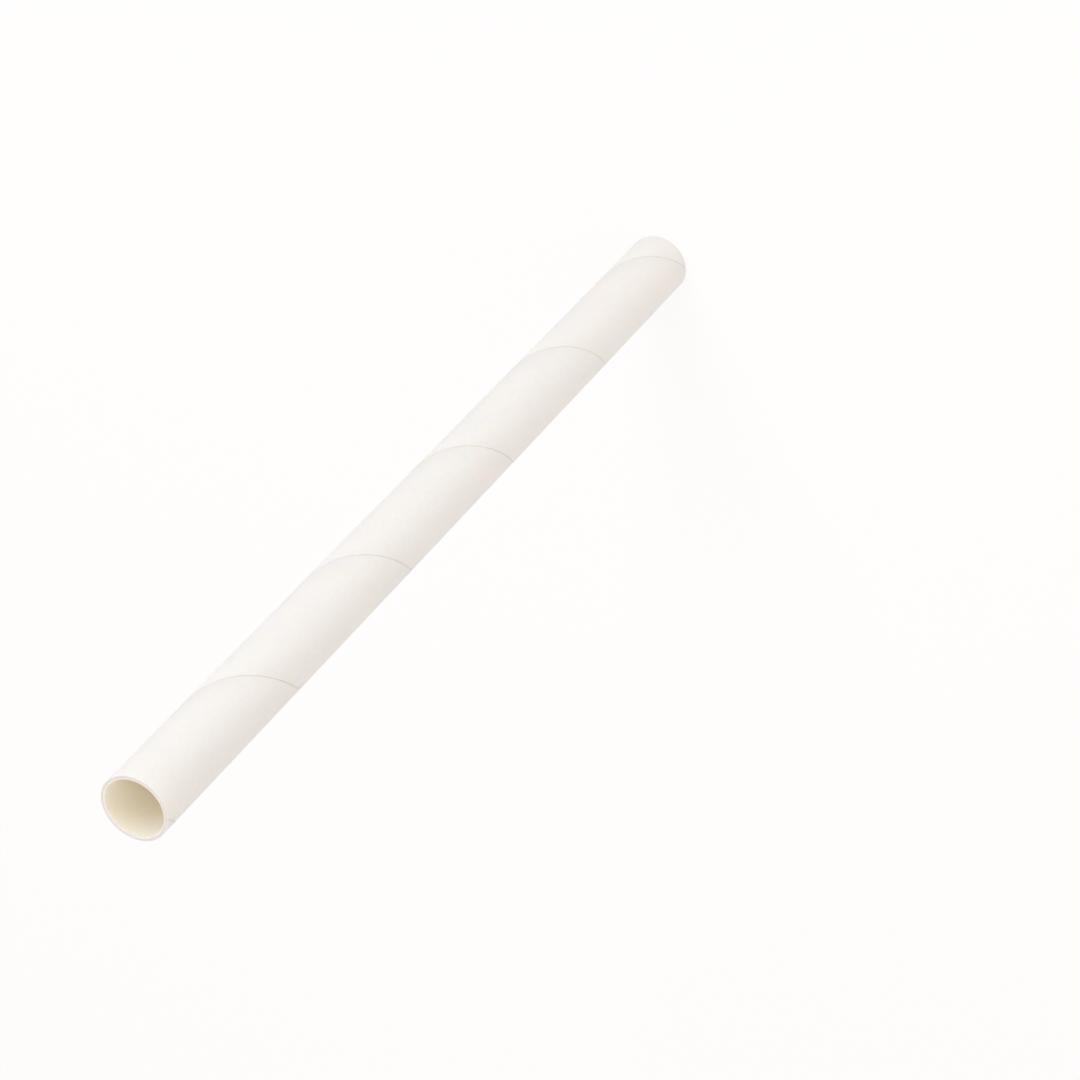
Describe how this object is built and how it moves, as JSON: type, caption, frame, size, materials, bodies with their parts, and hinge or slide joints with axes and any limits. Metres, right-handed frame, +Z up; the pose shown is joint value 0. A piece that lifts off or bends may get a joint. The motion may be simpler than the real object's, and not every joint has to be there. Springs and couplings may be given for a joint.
{
  "type": "paper drinking straw",
  "caption": "Wide round paper drinking straw, wound on the slant from glued strips, with the open helical joint of its outer strip, cut square at both ends and standing on one of them.",
  "frame": {"origin": "middle of the lower cut end, on the surface that the straw stands on", "axes": "+Z up the straw, from the lower end to the open mouth that the picture shows; +Y away from the picture's camera and +X to its right, as seen with +Z upright"},
  "size_m": [0.012, 0.012, 0.197],
  "materials": {
    "white_paper": "plain white uncoated kraft paper, matte with a faint calendered sheen"
  },
  "bodies": {
    "root": {"straw_tube": "white_paper"}
  },
  "joints": []
}
